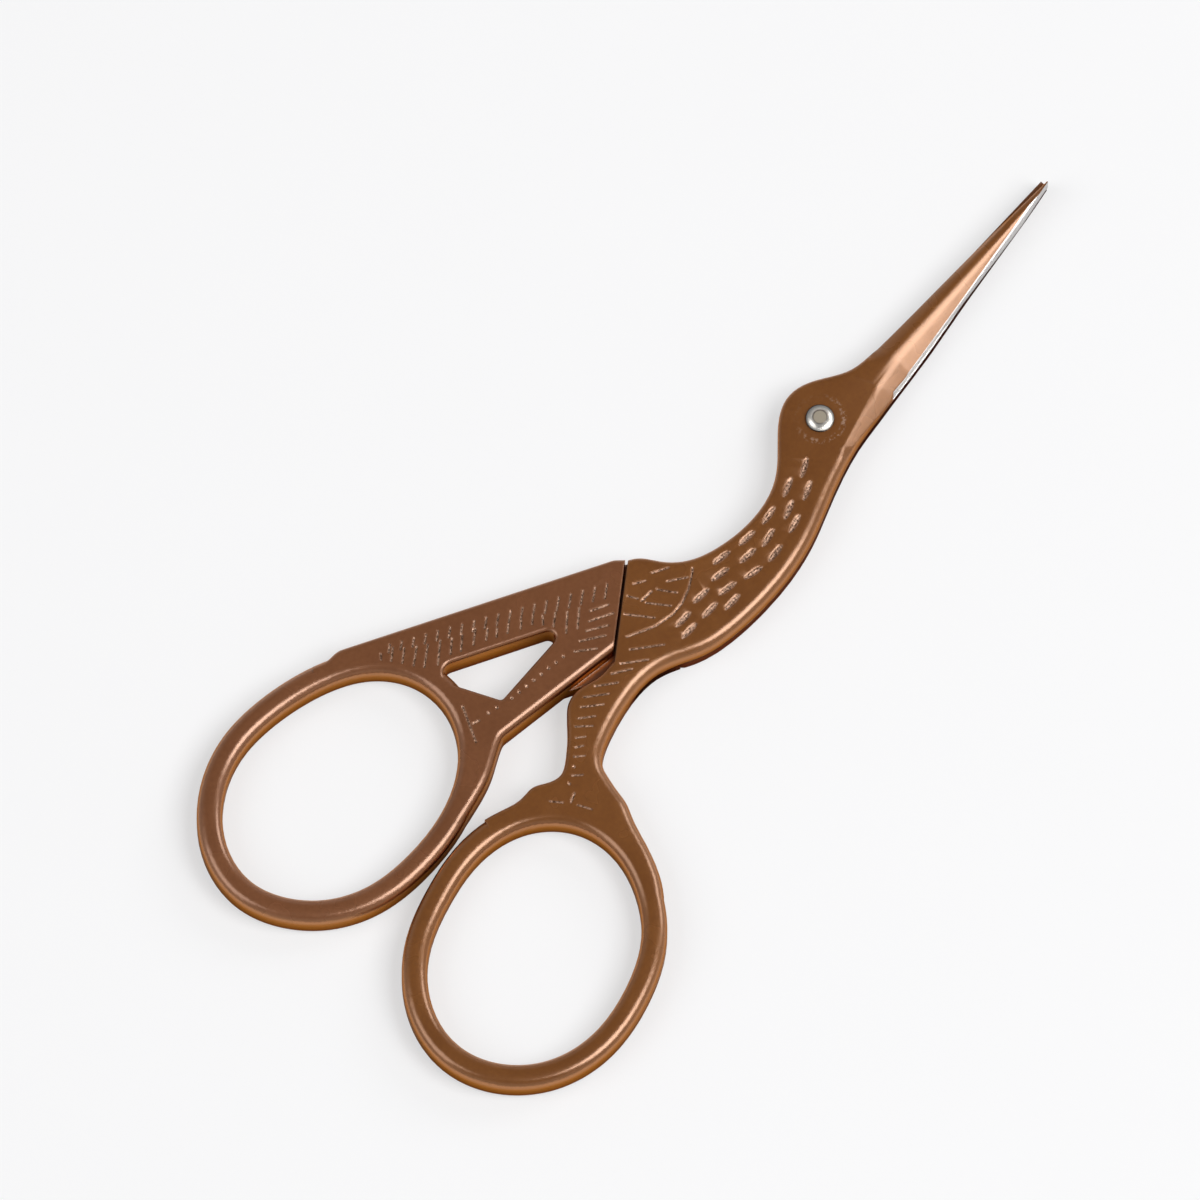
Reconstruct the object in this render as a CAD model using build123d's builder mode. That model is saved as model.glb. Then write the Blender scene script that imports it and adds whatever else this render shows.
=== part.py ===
from build123d import *
from math import atan2, degrees
import os

os.makedirs("parts", exist_ok=True)

# Stork embroidery scissors, closed. The pivot is the origin, +X runs to the blade tips, +Y to the
# tail side and +Z to the front face. The underside lies in the plane z = 0.

# Reach of the blades and the body from the pivot, and the body's height below and above it
blade_reach = 28.4
body_reach = 26.75
body_depth = 7.48
head_rise = 3.3

# Finger rings: centre lines, distance behind the pivot, and the line where the two nearly meet
front_ring_reach = 50.25
front_ring_half_length = 11.65
front_ring_half_width = 9.73
back_ring_reach = 50.75
back_ring_half_length = 12.2
back_ring_half_width = 9.25
ring_meeting_drop = 2.65
ring_gap = 0.3
wire_width = 2.15
wire_round = 0.85
ring_station_count = 28

# Thickness of the forgings, the gap between their laps and the gap at their shoulders
full_thickness = 3.0
lap_gap = 0.04
shoulder_gap = 0.25
throat_reach = 0.7

# Rounded edges
edge_round = 0.4
belly_round = 1.0
spar_round = 0.7
spar_bend_round = 1.0
window_back_round = 1.0
window_low_round = 0.4
window_front_round = 0.6
window_rim_round = 0.35

# Blades: height of the spine above the pivot line, depth of the cutting edge at the heel, and the
# grinding of the outer face
spine_rise = 0.6
heel_depth = 2.6
tip_rise = 0.8
facet_drop = 0.95
spine_drop = 0.6

# Pivot rivet
shank_radius = 0.95
running_clearance = 0.04
head_radius = 1.2
head_height = 0.42
head_rim = 0.12
head_flat_radius = 0.62
head_bulge = 0.08
head_seat = 0.03
flare_radius = 1.4
flare_depth = 0.5

# Stamped marks: feathers, strokes and dots, and the upper row of barbs on the tail
feather_length = 2.0
feather_width = 0.6
feather_depth = 0.18
stroke_width = 0.22
stroke_depth = 0.12
dot_radius = 0.16
barb_count = 19
barb_turn = 33
short_barb = 0.7
long_barb = 1.25
dot_row_count = 8

# One overrun serves every cut
overrun = 2.0

# The leg and the tail run on from the end of the body to their rings
body_end = (-body_reach, 0)
leg_reach = front_ring_reach - body_reach
tail_reach = back_ring_reach - body_reach

# Levels of the laps and places of the rings
lap_middle = full_thickness / 2
front_lap_floor = lap_middle + lap_gap / 2
back_lap_top = lap_middle - lap_gap / 2
ring_offset = ring_gap / 2 + wire_width / 2
front_ring_drop = ring_meeting_drop + ring_offset + front_ring_half_width
back_ring_rise = back_ring_half_width + ring_offset - ring_meeting_drop

# Outlines as shares of a reach along X and of a height along Y. The throat, the leg, the tail and the
# window are measured from the end of the body.
spine_shares = [(1.0, 0.3), (0.85, 0.56), (0.70, 0.77), (0.53, 0.90), (0.35, 1.05), (0.25, 1.25)]
crown_shares = [
    (0.187, 0.33), (0.112, 0.67), (0.045, 0.955), (-0.015, 1.01), (-0.075, 0.83), (-0.157, 0.29),
    (-0.243, -0.24), (-0.385, -0.52), (-0.523, -0.39), (-0.609, -0.12), (-0.677, 0.39), (-0.718, 0.89),
]
belly_shares = [
    (0.206, -0.414), (0.127, -0.449), (0.037, -0.492), (-0.060, -0.575), (-0.172, -0.710),
    (-0.303, -0.877), (-0.434, -0.973), (-0.572, -1.0), (-0.695, -0.973), (-0.807, -0.882),
    (-0.882, -0.750), (-0.950, -0.651), (-1.024, -0.626),
]
throat_shares = [(-0.053, -0.217), (-0.096, -0.221), (-0.147, -0.181), (-0.203, -0.147)]
leg_low_shares = [
    (-0.134, -0.368), (-0.241, -0.419), (-0.303, -0.467), (-0.337, -0.518), (-0.355, -0.596),
    (-0.37, -0.691), (-0.382, -0.78), (-0.41, -0.882), (-0.444, -1.03), (-0.491, -1.213),
    (-0.551, -1.36),
]
leg_high_shares = [
    (-0.249, -0.096), (-0.314, -0.1875), (-0.411, -0.327), (-0.47, -0.3735), (-0.521, -0.346),
    (-0.568, -0.3015), (-0.628, -0.298), (-0.705, -0.261), (-0.772, -0.224),
]
tail_high_shares = [(-0.627, 2.02), (-0.652, 2.045), (-0.693, 2.054), (-0.748, 2.121)]
tail_low_shares = [(-0.827, -0.246), (-0.736, -0.192), (-0.611, -0.083), (-0.526, 0.045)]
spar_end_share = (-0.489, 0.092)
window_shares = [(-0.516, 1.232), (-0.393, 0.376), (-0.025, 0.422)]
shoulder_top_share = (-0.7515, 1.12)
tail_corner_share = (-0.783, 1.36)
shoulder_low_share = (-1.0, -0.134)
lap_bend_share = (-0.901, -0.575)
lap_corner_share = (-0.864, -0.785)
spar_lap_share = 0.42

# Cutting edge of the front blade below the pivot line, spine of the back blade just inside it, and
# cutting edge of the back blade above the pivot line
front_edge_shares = [(0.215, -1.058), (0.296, -0.992), (0.86, -0.254), (1.0, 0.01)]
back_spine_shares = [(0.38, -0.95), (0.55, -0.655), (0.725, -0.385), (0.87, -0.17), (1.0, 0.06)]
back_edge_shares = [(1.0, 1.0), (0.265, 0.76)]

# Grinding of a blade: reach as a share of the blade's, then places across it as shares of the heel's
# depth, and the drop as a share of its largest
front_facet_shares = [
    (-0.04, -1.27, -1.77, 0.74), (0.19, -0.54, -1.19, 1.0), (0.29, -0.37, -0.99, 1.0),
    (0.56, -0.265, -0.625, 0.58), (0.86, -0.13, -0.254, 0.22), (1.03, -0.06, -0.16, 0.18),
]
back_facet_shares = [
    (0.09, 0.95, 1.40, 0.74), (0.19, -0.23, 0.385, 1.0), (0.29, -0.377, 0.238, 1.0),
    (0.56, -0.096, 0.265, 0.58), (0.86, 0.173, 0.300, 0.22), (1.03, 0.277, 0.308, 0.18),
]
spine_facet_shares = [
    (0.10, 0.80, 1.10, 0.5), (0.28, -0.01, 0.28, 1.0), (0.56, 0.0, 0.22, 0.83),
    (0.86, 0.05, 0.13, 0.6), (1.03, 0.03, 0.09, 0.6),
]

front_ring_shares = [
    (-1.00, 0.00), (-0.86, 0.42), (-0.53, 0.77), (-0.185, 0.925), (0.22, 1.00), (0.67, 0.86), (0.94, 0.50),
    (0.995, 0.11), (0.87, -0.35), (0.62, -0.70), (0.22, -0.93), (-0.23, -1.00), (-0.62, -0.86),
    (-0.91, -0.51),
]
back_ring_shares = [
    (-1.00, 0.02), (-0.89, 0.48), (-0.635, 0.81), (-0.27, 0.99), (0.10, 0.98), (0.48, 0.85), (0.80, 0.595),
    (0.985, 0.17), (0.955, -0.31), (0.735, -0.70), (0.39, -0.93), (-0.045, -1.00), (-0.445, -0.92),
    (-0.78, -0.64), (-0.945, -0.315),
]

# Marks on the body, as shares of its reach and depth, with each feather's turn in degrees
feather_shares = [
    (-0.546, -0.294), (-0.445, -0.348), (-0.344, -0.348), (-0.2355, -0.281), (-0.153, -0.261),
    (-0.59, -0.414), (-0.682, -0.428), (-0.7775, -0.468), (-0.486, -0.495), (-0.40, -0.521),
    (-0.288, -0.468), (-0.202, -0.468), (-0.7925, -0.608), (-0.699, -0.615), (-0.609, -0.588),
    (-0.516, -0.675), (-0.4225, -0.702), (-0.310, -0.628), (-0.632, -0.735),
]
feather_turns = [-8, -3, 8, 20, 25, -10, -3, 0, -4, 10, 20, 22, 0, 0, -10, -12, 5, 14, 0]
wing_arc_shares = [
    (-0.632, -0.134), (-0.643, -0.167), (-0.692, -0.267), (-0.74, -0.328), (-0.785, -0.341),
    (-0.849, -0.294), (-0.886, -0.234), (-0.938, -0.14),
]
wing_stroke_shares = [
    (-0.718, -0.033, -0.665, -0.167), (-0.819, 0.023, -0.776, 0.016), (-0.729, 0.16, -0.682, 0.067),
    (-0.796, 0.227, -0.763, 0.154), (-0.879, 0.02, -0.834, -0.214), (-0.815, -0.027, -0.77, -0.254),
    (-0.759, -0.013, -0.725, -0.201), (-0.836, 0.174, -0.822, 0.074), (-0.888, 0.06, -0.864, -0.067),
]

# Marks on the leg, as shares of the leg's reach and the ring's drop. The first few lie over the lap.
leg_stroke_shares = [
    (0.043, -0.147, 0.138, -0.279), (-0.019, -0.165, 0.058, -0.272), (-0.068, -0.17, -0.006, -0.24),
    (-0.143, -0.147, -0.078, -0.235), (-0.198, -0.147, -0.13, -0.243), (-0.234, -0.176, -0.172, -0.265),
    (-0.271, -0.213, -0.224, -0.279), (-0.301, -0.235, -0.258, -0.309), (-0.331, -0.287, -0.305, -0.324),
    (-0.359, -0.327, -0.335, -0.353), (-0.388, -0.36, -0.359, -0.404), (-0.444, -0.434, -0.418, -0.478),
    (-0.568, -0.445, -0.542, -0.507), (-0.521, -0.544, -0.487, -0.522), (-0.512, -0.588, -0.491, -0.669),
]
leg_dot_shares = [(-0.416, -0.404), (-0.474, -0.456)]
lap_stroke_count = 4

# Marks on the tail, as shares of the tail's reach and the ring's rise
tail_stroke_shares = [
    (-0.567, 1.629, -0.552, 1.674), (-0.547, 1.54, -0.507, 1.629), (-0.526, 1.438, -0.482, 1.534),
    (-0.507, 1.329, -0.448, 1.45), (-0.486, 1.233, -0.418, 1.374), (-0.448, 1.144, -0.376, 1.31),
    (-0.389, 1.125, -0.344, 1.233), (-0.357, 1.067, -0.311, 1.176), (-0.311, 1.016, -0.264, 1.118),
    (-0.268, 0.952, -0.235, 1.022), (-0.235, 0.895, -0.211, 0.952), (-0.199, 0.837, -0.173, 0.895),
    (-0.156, 0.767, -0.135, 0.818), (-0.118, 0.709, -0.101, 0.748), (-0.093, 0.62, -0.07, 0.69),
    (-0.074, 0.524, -0.032, 0.613), (-0.061, 0.377, -0.002, 0.524), (-0.023, 0.319, 0.036, 0.46),
    (0.023, 0.281, 0.102, 0.153), (0.053, 0.351, 0.114, 0.256), (-0.01, 0.23, 0.057, 0.102),
    (-0.053, 0.204, 0.023, 0.045), (-0.093, 0.166, -0.032, 0.013), (-0.507, 0.613, -0.569, 0.256),
    (-0.526, 0.422, -0.503, 0.396),
]
tail_dot_shares = [(-0.461, 0.377), (-0.427, 0.351), (-0.505, 0.626)]
barb_row_shares = [(-0.518, 1.649), (0.144, 0.376)]
dot_row_shares = [(-0.366, 0.307), (-0.133, 0.217)]


def place(shares, along, across, centre=(0, 0)):
    """Points of a share table, for one size along X and one along Y."""
    return [Vector(centre[0] + x * along, centre[1] + y * across) for x, y in shares]


def place_one(share, along, across, centre=(0, 0)):
    """Single point of a share pair."""
    return place([share], along, across, centre)[0]


def place_strokes(shares, along, across, centre=(0, 0)):
    """Start and end of each stroke of a share table."""
    return [(place_one(row[:2], along, across, centre), place_one(row[2:], along, across, centre))
            for row in shares]


def along_row(ends, count):
    """Evenly spaced points from one end of a row to the other."""
    return [ends[0] + (ends[1] - ends[0]) * (step / (count - 1)) for step in range(count)]


spine = place(spine_shares, blade_reach, spine_rise)
crown = place(crown_shares, body_reach, head_rise)
belly = place(belly_shares, body_reach, body_depth)
throat = place(throat_shares, leg_reach, body_depth, body_end)
leg_low = place(leg_low_shares, leg_reach, front_ring_drop, body_end)
leg_high = place(leg_high_shares, leg_reach, front_ring_drop, body_end)
tail_high = place(tail_high_shares, tail_reach, back_ring_rise, body_end)
tail_low = place(tail_low_shares, tail_reach, back_ring_rise, body_end)
spar_end = place_one(spar_end_share, tail_reach, back_ring_rise, body_end)
window = place(window_shares, tail_reach, back_ring_rise, body_end)
shoulder_top = place_one(shoulder_top_share, body_reach, head_rise)
tail_corner = place_one(tail_corner_share, body_reach, head_rise)
shoulder_low = place_one(shoulder_low_share, body_reach, body_depth)
lap_bend = place_one(lap_bend_share, body_reach, body_depth)
lap_corner = place_one(lap_corner_share, body_reach, body_depth)
front_edge = place(front_edge_shares, blade_reach, heel_depth)
back_spine = place(back_spine_shares, blade_reach, heel_depth)
back_edge = place(back_edge_shares, blade_reach, tip_rise)
front_ring_centre = (-front_ring_reach, -front_ring_drop)
back_ring_centre = (-back_ring_reach, back_ring_rise)
front_ring_line = place(front_ring_shares, front_ring_half_length, front_ring_half_width, front_ring_centre)
back_ring_line = place(back_ring_shares, back_ring_half_length, back_ring_half_width, back_ring_centre)

feathers = place(feather_shares, body_reach, body_depth)
wing_arc = place(wing_arc_shares, body_reach, body_depth)
wing_strokes = place_strokes(wing_stroke_shares, body_reach, body_depth) + list(zip(wing_arc, wing_arc[1:]))
leg_strokes = place_strokes(leg_stroke_shares, leg_reach, front_ring_drop, body_end)
leg_dots = place(leg_dot_shares, leg_reach, front_ring_drop, body_end)
tail_strokes = place_strokes(tail_stroke_shares, tail_reach, back_ring_rise, body_end)
barbs = along_row(place(barb_row_shares, tail_reach, back_ring_rise, body_end), barb_count)
dot_row = along_row(place(dot_row_shares, tail_reach, back_ring_rise, body_end), dot_row_count)
tail_dots = place(tail_dot_shares, tail_reach, back_ring_rise, body_end) + dot_row

# Shoulder of the tail on the front face, and shoulder of the leg on the back face. Each lap stops short
# of the other half's shoulder by the shoulder gap.
spar_lap = shoulder_low + (spar_end - shoulder_low) * spar_lap_share
tail_line = (shoulder_low - shoulder_top).normalized()
leg_line = (lap_corner - spar_lap).normalized()
lap_start_line = (lap_bend - spar_lap).normalized()
lap_end_line = (lap_corner - lap_bend).normalized()
into_body = Vector(-tail_line.Y, tail_line.X) * shoulder_gap
into_leg = Vector(leg_line.Y, -leg_line.X) * shoulder_gap
throat_start = shoulder_low + into_body + tail_line * throat_reach
tail_rise_line = (tail_high[0] - tail_corner).normalized()

# Bounds that every lap cut runs out to
right_bound = blade_reach + overrun
low_bound = -body_depth - overrun
high_bound = 2 * head_rise + overrun
heel_reach = belly[0].X
blade_floor = belly[0].Y
blade_ceiling = 2 * head_rise / 3


def ring_loop(line, grow):
    """Face inside a ring's centre line, grown outwards or inwards."""
    centre = Spline(*line, periodic=True)
    stations = [step / ring_station_count for step in range(ring_station_count)]
    points = [centre @ at + Vector(0, 0, 1).cross(centre % at) * grow for at in stations]
    with BuildSketch() as loop:
        with BuildLine():
            Spline(*points, periodic=True)
        make_face()
    return loop.sketch


def finger_ring(line):
    """Rounded wire of full thickness along a closed centre line."""
    with BuildPart() as ring:
        extrude(ring_loop(line, wire_width / 2), amount=full_thickness)
        extrude(ring_loop(line, -wire_width / 2), amount=full_thickness, mode=Mode.SUBTRACT)
        fillet(ring.faces().filter_by(Axis.Z).edges(), wire_round)
    return ring.part


def ground_off(shares, across, drop, face_level, depth_sign):
    """Solid ground off a blade. The depth sign is -1 on the front face and +1 on the back face."""
    with BuildPart() as cutter:
        for reach_share, ridge_share, foot_share, drop_share in shares:
            ridge = ridge_share * across
            foot = foot_share * across
            run = foot - ridge
            fall = depth_sign * drop_share * drop
            crest = (ridge - run, face_level - fall)
            deep = (foot + run, face_level + 2 * fall)
            with BuildSketch(Plane.YZ.offset(reach_share * blade_reach)):
                with BuildLine():
                    Polyline(crest, deep, (deep[0], crest[1]), close=True)
                make_face()
        loft(ruled=True)
    return cutter.part


def outer_edges(half, side, points):
    """Edges of the front face (side -1) or the back face (side 0) nearest to points of the outline."""
    face = half.faces().filter_by(Axis.Z).group_by(Axis.Z)[side].sort_by(SortBy.AREA)[-1]
    level = face.center().Z
    return [face.edges().sort_by_distance((point.X, point.Y, level))[0] for point in points]


def feather_marks(level):
    """Feathers of the body, on a plane at a level."""
    with BuildSketch(Plane.XY.offset(level)) as marks:
        for middle, turn in zip(feathers, feather_turns):
            with Locations(middle):
                Ellipse(feather_length / 2, feather_width / 2, rotation=turn)
    return marks.sketch


def stroke_marks(strokes, dots, level):
    """Strokes and dots, on a plane at a level."""
    with BuildSketch(Plane.XY.offset(level)) as marks:
        for start, end in strokes:
            run = end - start
            with Locations((start + end) / 2):
                SlotCenterToCenter(run.length, stroke_width, rotation=degrees(atan2(run.Y, run.X)))
        if dots:
            with Locations(*dots):
                Circle(dot_radius)
    return marks.sketch


def barb_marks(level):
    """Upper row of barbs of the tail, growing towards the body, on a plane at a level."""
    with BuildSketch(Plane.XY.offset(level)) as marks:
        for step, middle in enumerate(barbs):
            length = short_barb + (long_barb - short_barb) * step / (barb_count - 1)
            with Locations(middle):
                SlotCenterToCenter(length, stroke_width, rotation=barb_turn)
    return marks.sketch


front_ring = finger_ring(front_ring_line)
back_ring = finger_ring(back_ring_line)
front_facet = ground_off(front_facet_shares, heel_depth, facet_drop, full_thickness, -1)
front_spine_facet = ground_off(spine_facet_shares, heel_depth, spine_drop, full_thickness, -1)
back_facet = ground_off(back_facet_shares, heel_depth, facet_drop, 0, 1)

with BuildPart() as front_half:
    with BuildSketch():
        with BuildLine():
            Spline(*spine, *crown, shoulder_top + into_body)
            Line(shoulder_top + into_body, throat_start)
            Spline(throat_start, *throat, *leg_high)
            Polyline(leg_high[-1], front_ring_centre, leg_low[-1])
            Spline(*reversed(leg_low), *reversed(belly))
            Polyline(belly[0], (blade_reach, blade_floor), spine[0])
        make_face()
    extrude(amount=full_thickness)
    fillet(outer_edges(front_half, -1, [belly[6]]), belly_round)
    fillet(outer_edges(front_half, -1, [crown[6], throat[1]]), edge_round)
    fillet(outer_edges(front_half, 0, [leg_high[1], leg_low[1]]), edge_round)
    extrude(ring_loop(front_ring_line, 0), amount=full_thickness, mode=Mode.SUBTRACT)
    with BuildSketch(Plane.XY.offset(-overrun)):
        with BuildLine():
            lap_start = spar_lap + into_leg - lap_start_line * overrun
            lap_end = lap_corner + into_leg + lap_end_line * overrun
            Polyline(lap_start, lap_bend + into_leg, lap_end, (lap_end.X, low_bound),
                     (right_bound, low_bound), (right_bound, high_bound), (lap_start.X, high_bound), close=True)
        make_face()
    extrude(amount=overrun + front_lap_floor, mode=Mode.SUBTRACT)
    with BuildSketch():
        with BuildLine():
            Polyline(belly[0], *front_edge, (right_bound, front_edge[-1].Y),
                     (right_bound, low_bound), (heel_reach, low_bound), close=True)
        make_face()
    extrude(amount=full_thickness, mode=Mode.SUBTRACT)
    add(front_facet, mode=Mode.SUBTRACT)
    add(front_spine_facet, mode=Mode.SUBTRACT)
    add(front_ring)
    with Locations((0, 0, full_thickness)):
        Hole(shank_radius + running_clearance)
    extrude(feather_marks(full_thickness), amount=-feather_depth, mode=Mode.SUBTRACT)
    extrude(stroke_marks(wing_strokes + leg_strokes, leg_dots, full_thickness), amount=-stroke_depth,
            mode=Mode.SUBTRACT)
    extrude(stroke_marks(leg_strokes[lap_stroke_count:], leg_dots, 0), amount=stroke_depth,
            mode=Mode.SUBTRACT)

front_half.part.label = "front_half"
export_step(front_half.part, "parts/front_half.step")

with BuildPart() as back_half:
    with BuildSketch():
        with BuildLine():
            Spline(*crown, shoulder_top, tail_corner, tangents=[crown[1] - crown[0], tail_rise_line])
            Line(tail_corner, tail_high[0])
            Spline(*tail_high, tangents=[tail_rise_line, tail_high[-1] - tail_high[-2]])
            Polyline(tail_high[-1], back_ring_centre, tail_low[0])
            Spline(*tail_low, spar_end)
            Polyline(spar_end, spar_lap, lap_bend, lap_corner)
            Spline(lap_corner, *reversed(belly[:10]), *back_spine)
            Polyline(back_spine[-1], (blade_reach, blade_ceiling), (crown[0].X, blade_ceiling), crown[0])
        make_face()
        fillet(vertices().sort_by_distance(spar_end)[0], spar_bend_round)
    extrude(amount=full_thickness)
    fillet(outer_edges(back_half, 0, [belly[6], crown[6], tail_low[1]]), edge_round)
    with BuildSketch(Plane.XY.offset(back_lap_top)):
        with BuildLine():
            Polyline(shoulder_top - tail_line * overrun, shoulder_low, spar_lap, (spar_lap.X, low_bound),
                     (right_bound, low_bound), (right_bound, high_bound), close=True)
        make_face()
    extrude(amount=full_thickness, mode=Mode.SUBTRACT)
    fillet(outer_edges(back_half, -1, [(tail_corner + tail_high[0]) / 2]), edge_round)
    fillet(outer_edges(back_half, -1, [(spar_end + spar_lap) / 2]), spar_round)
    extrude(ring_loop(back_ring_line, 0), amount=full_thickness, mode=Mode.SUBTRACT)
    with BuildSketch():
        with BuildLine():
            Polyline(*window, close=True)
        make_face()
        for corner, radius in zip(window, (window_back_round, window_low_round, window_front_round)):
            fillet(vertices().sort_by_distance(corner)[0], radius)
    extrude(amount=full_thickness, mode=Mode.SUBTRACT)
    for side in (0, -1):
        fillet(outer_edges(back_half, side, [(window[0] + window[2]) / 2]), window_rim_round)
    with BuildSketch():
        with BuildLine():
            Polyline(crown[0], *reversed(back_edge), (right_bound, back_edge[0].Y),
                     (right_bound, high_bound), (crown[0].X, high_bound), close=True)
        make_face()
    extrude(amount=full_thickness, mode=Mode.SUBTRACT)
    add(back_facet, mode=Mode.SUBTRACT)
    add(back_ring)
    Cylinder(shank_radius, full_thickness, align=(Align.CENTER, Align.CENTER, Align.MIN), mode=Mode.SUBTRACT)
    Cone(flare_radius, shank_radius, flare_depth, align=(Align.CENTER, Align.CENTER, Align.MIN),
         mode=Mode.SUBTRACT)
    extrude(stroke_marks(tail_strokes, tail_dots, full_thickness), amount=-stroke_depth, mode=Mode.SUBTRACT)
    extrude(barb_marks(full_thickness), amount=-stroke_depth, mode=Mode.SUBTRACT)
    extrude(feather_marks(0), amount=feather_depth, mode=Mode.SUBTRACT)
    extrude(stroke_marks(wing_strokes + tail_strokes, tail_dots, 0), amount=stroke_depth, mode=Mode.SUBTRACT)
    extrude(barb_marks(0), amount=stroke_depth, mode=Mode.SUBTRACT)

back_half.part.label = "back_half"
export_step(back_half.part, "parts/back_half.step")

# Rivet: flared flush into the back half, plain shank, and a low domed head with a flat centre
head_floor = full_thickness + head_seat
head_top = head_floor + head_height
with BuildPart() as pivot_rivet:
    with BuildSketch(Plane.XZ):
        with BuildLine():
            Polyline((0, head_top), (0, 0), (flare_radius, 0), (shank_radius, flare_depth),
                     (shank_radius, head_floor), (head_radius, head_floor),
                     (head_radius, head_floor + head_rim))
            SagittaArc((head_radius, head_floor + head_rim), (head_flat_radius, head_top), head_bulge)
            Line((head_flat_radius, head_top), (0, head_top))
        make_face()
    revolve(axis=Axis.Z)

pivot_rivet.part.label = "pivot_rivet"
export_step(pivot_rivet.part, "parts/pivot_rivet.step")
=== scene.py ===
import math
from collections import namedtuple

import bmesh
import bpy
import numpy as np
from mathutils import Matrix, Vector, geometry


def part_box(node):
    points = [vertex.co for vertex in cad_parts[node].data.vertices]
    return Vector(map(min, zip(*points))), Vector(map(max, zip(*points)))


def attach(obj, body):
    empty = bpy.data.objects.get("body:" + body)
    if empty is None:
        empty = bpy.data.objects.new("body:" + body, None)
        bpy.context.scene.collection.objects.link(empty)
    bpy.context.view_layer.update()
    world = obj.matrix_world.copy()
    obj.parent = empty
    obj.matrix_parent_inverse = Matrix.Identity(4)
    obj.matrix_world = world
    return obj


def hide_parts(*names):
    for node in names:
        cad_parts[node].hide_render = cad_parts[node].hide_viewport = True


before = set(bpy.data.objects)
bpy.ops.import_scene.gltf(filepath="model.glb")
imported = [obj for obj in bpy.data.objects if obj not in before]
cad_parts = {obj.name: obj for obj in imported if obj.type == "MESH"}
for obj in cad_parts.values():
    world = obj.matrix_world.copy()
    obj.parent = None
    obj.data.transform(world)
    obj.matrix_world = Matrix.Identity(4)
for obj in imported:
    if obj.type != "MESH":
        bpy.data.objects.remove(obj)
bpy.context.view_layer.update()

MM = 0.001
WELD = 1e-7
TINY = 1e-12
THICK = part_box("front_half")[1].z / MM
RNG = np.random.default_rng(7)

# Kinds of stamped mark, in mm: depth of the CAD pocket, spacing of the dent's points, width of its
# sloping side, and roughness of its floor
Mark = namedtuple("Mark", "depth pitch slope rough")
FEATHER = Mark(depth=0.18, pitch=0.080, slope=0.26, rough=0.034)
STROKE = Mark(depth=0.12, pitch=0.060, slope=0.10, rough=0.010)
DENT_DEPTH = 1.15
FLOOR_MISS = 0.004
FLOOR_FLAT = 0.999
POCKET_WALL = 0.2
INSIDE_ONLY = 1
PLAN_MISS = 1e-6

# Net of points in a dent, as shares of its pitch
ROW_GAP = 0.87
JITTER = 0.22
NET_MARGIN = 0.62
RIM_INSET = 0.3
RIM_MISS = 0.9

# Rounding of the ground ridges on the blades, in mm: size, start, end and length of the taper
RIDGE_ROUND = 0.60
RIDGE_START = 0.5
RIDGE_END = 29.0
RIDGE_TAPER = 20.0
RIDGE_LEAST = 0.15
RIDGE_MISS = 0.02
RIDGE_CUTS = (-1.0, -0.66, -0.33, 0.33, 0.66, 1.0)

# Upward part of a face's normal: the least of a blade's outer side and of its flat, and that of the
# steepest and mildest ground facet
OUTER_SIDE = 0.5
BLADE_FLAT = 0.9995
STEEPEST_FACET = 0.70
MILDEST_FACET = 0.94

# Edges that bend more than this, in degrees, stay sharp
SHARP_BEND = 28

# Ground steel: where it starts along the blade and how high it lies, in mm, and the parts of a
# face's normal that tell a cutting edge or an inner face
FRONT_EDGE_START = 6.0
BACK_EDGE_START = 7.2
INNER_START = 5.2
FRONT_EDGE_BOTTOM = 1.5
FRONT_INNER_BOTTOM = 1.4
BACK_INNER_HEIGHTS = (1.3, 1.6)
EDGE_UPWARD = 0.25
EDGE_ACROSS = 0.3
INNER_UPWARD = 0.95


# Stamped marks

def distance_to_loop(points, loop):
    """Distance in mm from each point to a closed outline."""
    a = loop
    b = np.roll(loop, -1, axis=0)
    run = b - a
    length = np.maximum((run ** 2).sum(1), TINY)
    t = np.clip(((points[:, None] - a) * run).sum(2) / length, 0, 1)
    nearest = a + t[..., None] * run
    return np.sqrt(((points[:, None] - nearest) ** 2).sum(2)).min(1)


def inside_loop(points, loop):
    """Which points lie inside a closed outline."""
    a = loop
    b = np.roll(loop, -1, axis=0)
    x, y = points[:, 0][:, None], points[:, 1][:, None]
    rise = np.where(b[:, 1] == a[:, 1], TINY, b[:, 1] - a[:, 1])
    crossing = a[:, 0] + (y - a[:, 1]) * (b[:, 0] - a[:, 0]) / rise
    return (((a[:, 1] > y) != (b[:, 1] > y)) & (x < crossing)).sum(1) % 2 == 1


def stamp_points(loop, pitch):
    """Scattered points inside an outline: one row just inside the rim, then a jittered net."""
    low, high = loop.min(0), loop.max(0)
    rows = []
    y = low[1]
    odd = False
    while y < high[1]:
        xs = np.arange(low[0] + (pitch / 2 if odd else 0), high[0], pitch)
        rows.append(np.stack([xs, np.full(len(xs), y)], 1))
        y += pitch * ROW_GAP
        odd = not odd
    net = np.concatenate(rows)
    net += RNG.uniform(-JITTER, JITTER, net.shape) * pitch
    net = net[inside_loop(net, loop)]
    net = net[distance_to_loop(net, loop) > NET_MARGIN * pitch]
    edge = np.roll(loop, -1, axis=0) - loop
    count = np.maximum((np.sqrt((edge ** 2).sum(1)) / pitch).astype(int), 1)
    rim = np.concatenate([
        loop[i] + edge[i] * ((np.arange(n) + 0.5) / n)[:, None] for i, n in enumerate(count)
    ])
    side = np.concatenate([np.repeat(edge[i][None], n, 0) for i, n in enumerate(count)])
    side /= np.sqrt((side ** 2).sum(1))[:, None]
    inset = RIM_INSET * pitch
    rows = []
    for turn in (1, -1):
        moved = rim + np.stack([-side[:, 1], side[:, 0]], 1) * turn * inset
        moved = moved[inside_loop(moved, loop)]
        rows.append(moved[distance_to_loop(moved, loop) > RIM_MISS * inset])
    return np.concatenate(rows + [net]) if len(net) else np.concatenate(rows)


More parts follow.
